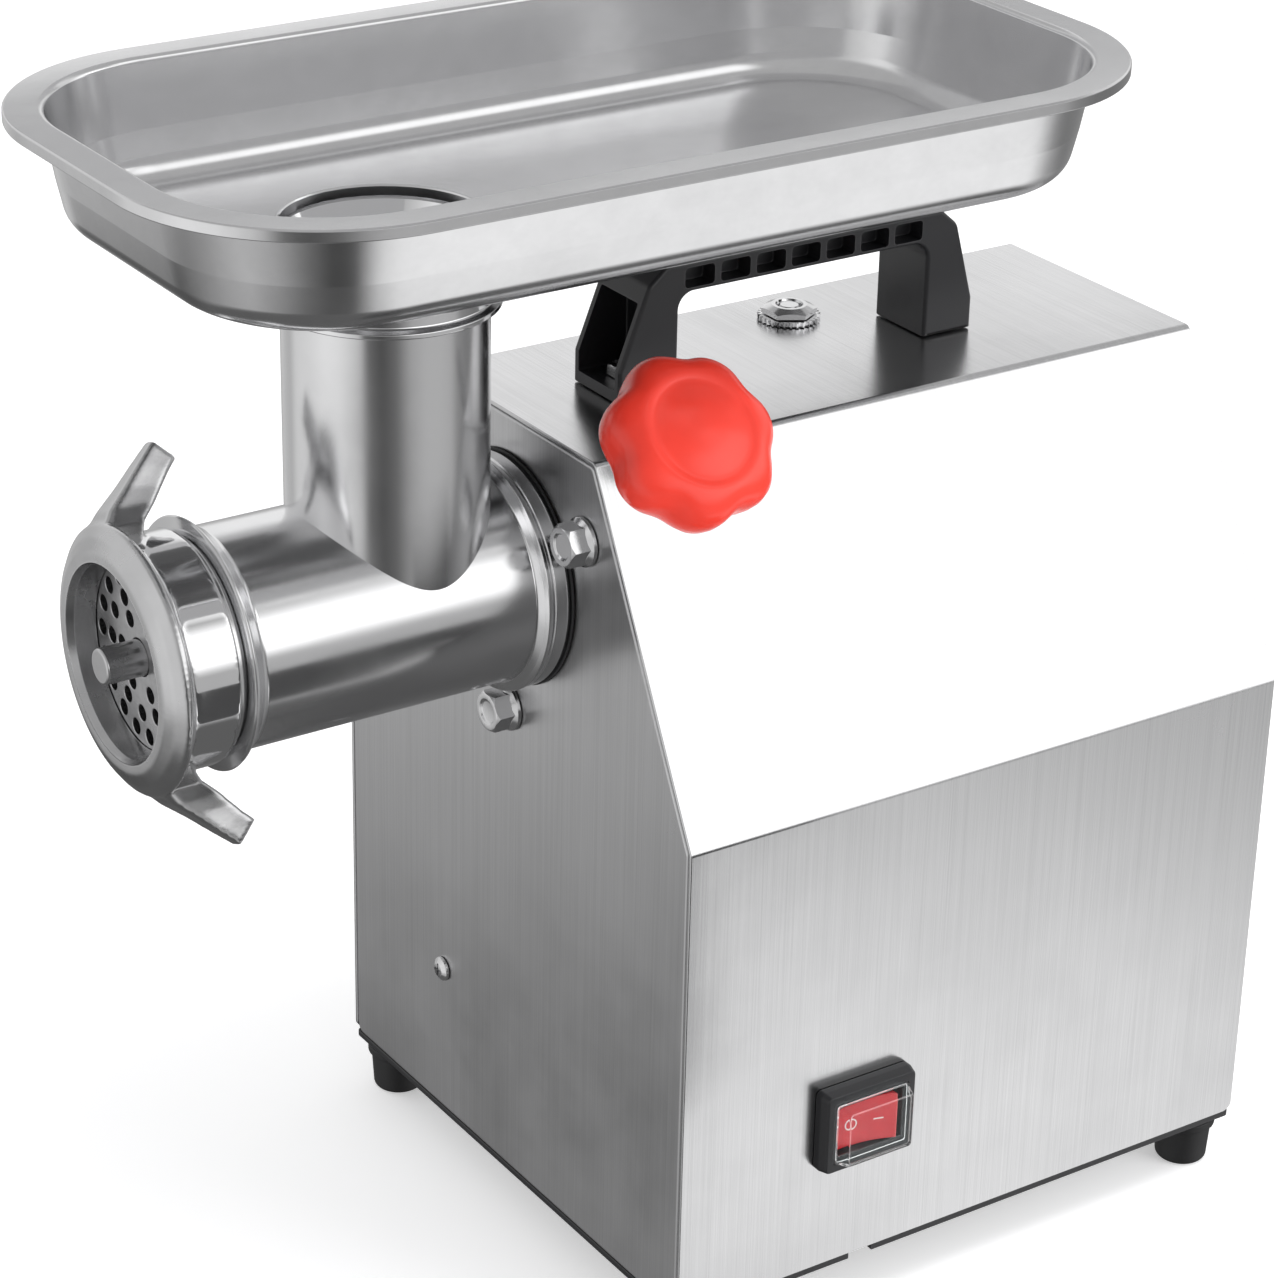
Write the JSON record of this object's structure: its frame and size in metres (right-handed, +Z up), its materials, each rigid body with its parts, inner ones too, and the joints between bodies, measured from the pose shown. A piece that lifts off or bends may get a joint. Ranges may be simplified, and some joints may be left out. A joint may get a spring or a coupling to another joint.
{
  "type": "electric meat grinder",
  "caption": "Countertop electric meat grinder: sheet-steel body with motor and gearbox, clamped grinding head with feed tube and tray, winged ring nut, carrying handle.",
  "frame": {"origin": "bottom centre of the whole box, with the feet on Z = 0", "axes": "+Z up; the grinding head points along -Y; the switch and the clamp knob are on the +X side"},
  "size_m": [0.2322, 0.4154, 0.4224],
  "materials": {
    "brushed_steel": "vertical brushed grain",
    "satin_steel": "pressed and satin polished",
    "polished_steel": "mirror polished stainless",
    "cast_steel": "tumbled casting",
    "machined_steel": "machined",
    "zinc_plate": "bright zinc plate",
    "black_plastic": "fine moulded texture",
    "red_plastic": "moulded, semi-gloss",
    "red_rocker": "translucent red",
    "clear_cover": "clear moulded",
    "rubber": "moulded",
    "black_paint": "black enamel",
    "cast_aluminium": "as cast",
    "lamination": "stacked electrical steel",
    "copper": "enamelled copper wire",
    "bronze": "sintered bronze",
    "insulation": "extruded insulation"
  },
  "bodies": {
    "body": {"housing_cover": "brushed_steel", "front_panel": "brushed_steel", "rear_panel": "brushed_steel", "base_plate": "black_paint", "foot_front_right": "rubber", "foot_front_left": "rubber", "foot_rear_right": "rubber", "foot_rear_left": "rubber", "flange_bolt_1": "zinc_plate", "flange_bolt_2": "zinc_plate", "flange_bolt_3": "zinc_plate", "earth_screw": "zinc_plate", "carry_handle": "black_plastic", "handle_bolt_front": "zinc_plate", "handle_bolt_rear": "zinc_plate", "top_nut": "zinc_plate", "top_washer": "zinc_plate", "tie_stud": "zinc_plate", "switch_bezel": "black_plastic", "switch_cover": "clear_cover", "gearbox_case": "cast_aluminium", "gearbox_cover": "cast_aluminium", "output_bearing_front": "machined_steel", "output_bearing_rear": "machined_steel", "layshaft_bush_front": "bronze", "layshaft_bush_rear": "bronze", "stator_core": "lamination", "winding_front": "copper", "winding_rear": "copper", "motor_shield_front": "cast_aluminium", "motor_shield_rear": "cast_aluminium", "motor_bearing_front": "machined_steel", "motor_bearing_rear": "machined_steel", "motor_cradle": "black_paint", "capacitor": "cast_aluminium", "capacitor_clamp": "zinc_plate", "cable_gland": "black_plastic", "gland_nut": "black_plastic", "lead_inlet_to_switch": "insulation", "lead_switch_to_motor": "insulation"},
    "head": {"head_body": "polished_steel", "head_gasket": "rubber"},
    "tray": {"feed_tray": "satin_steel", "tray_collar": "polished_steel"},
    "plate": {"cutting_plate": "machined_steel"},
    "ring": {"ring_nut": "cast_steel"},
    "auger": {"auger": "cast_steel", "knife": "machined_steel"},
    "output": {"output_shaft": "machined_steel", "output_gear": "machined_steel"},
    "layshaft": {"layshaft": "machined_steel", "layshaft_gear": "machined_steel"},
    "rotor": {"rotor_core": "lamination", "motor_shaft": "machined_steel", "motor_pinion": "machined_steel", "cooling_fan": "black_plastic"},
    "clamp_screw": {"clamp_screw": "machined_steel"},
    "knob": {"clamp_knob": "red_plastic"},
    "rocker": {"switch_rocker": "red_rocker"}
  },
  "joints": [
    {"name": "head_slide", "type": "slide", "parent": "body", "child": "head", "axis": [0, -1, 0], "range_m": [0, 0.05]},
    {"name": "tray_lift", "type": "slide", "parent": "head", "child": "tray", "axis": [0, 0, 1], "range_m": [0, 0.03]},
    {"name": "plate_slide", "type": "slide", "parent": "head", "child": "plate", "axis": [0, -1, 0], "range_m": [0, 0.01201]},
    {"name": "ring_nut_turn", "type": "hinge", "parent": "plate", "child": "ring", "pos_m": [-0.00615, -0.19455, 0.2576], "axis": [0, -1, 0], "range_deg": [0, 1080]},
    {"name": "auger_spin", "type": "hinge", "parent": "head", "child": "auger", "pos_m": [-0.00615, -0.11455, 0.2576], "axis": [0, -1, 0], "continuous": true},
    {"name": "output_spin", "type": "hinge", "parent": "body", "child": "output", "pos_m": [-0.00615, 0.01545, 0.2576], "axis": [0, -1, 0], "continuous": true},
    {"name": "layshaft_spin", "type": "hinge", "parent": "body", "child": "layshaft", "pos_m": [-0.00615, 0.02545, 0.1976], "axis": [0, -1, 0], "continuous": true},
    {"name": "rotor_spin", "type": "hinge", "parent": "body", "child": "rotor", "pos_m": [-0.00615, 0.09545, 0.1376], "axis": [0, -1, 0], "continuous": true},
    {"name": "clamp_slide", "type": "slide", "parent": "body", "child": "clamp_screw", "axis": [0.7431, 0, 0.6691], "range_m": [0, 0.01201]},
    {"name": "clamp_knob_turn", "type": "hinge", "parent": "clamp_screw", "child": "knob", "pos_m": [0.06816, -0.03455, 0.32451], "axis": [0.7431, 0, 0.6691], "range_deg": [0, 2880]},
    {"name": "rocker_tilt", "type": "hinge", "parent": "body", "child": "rocker", "pos_m": [0.10285, 0.01895, 0.078], "axis": [0, 0, 1], "range_deg": [0, 18]}
  ],
  "couplings": [
    {"joint": "plate_slide", "follows": "ring_nut_turn", "m_per_rad": 0.00063662},
    {"joint": "clamp_slide", "follows": "clamp_knob_turn", "m_per_rad": 0.00023873},
    {"joint": "auger_spin", "follows": "rotor_spin", "ratio": 0.14286},
    {"joint": "output_spin", "follows": "rotor_spin", "ratio": 0.14286},
    {"joint": "layshaft_spin", "follows": "rotor_spin", "ratio": -0.33333}
  ]
}
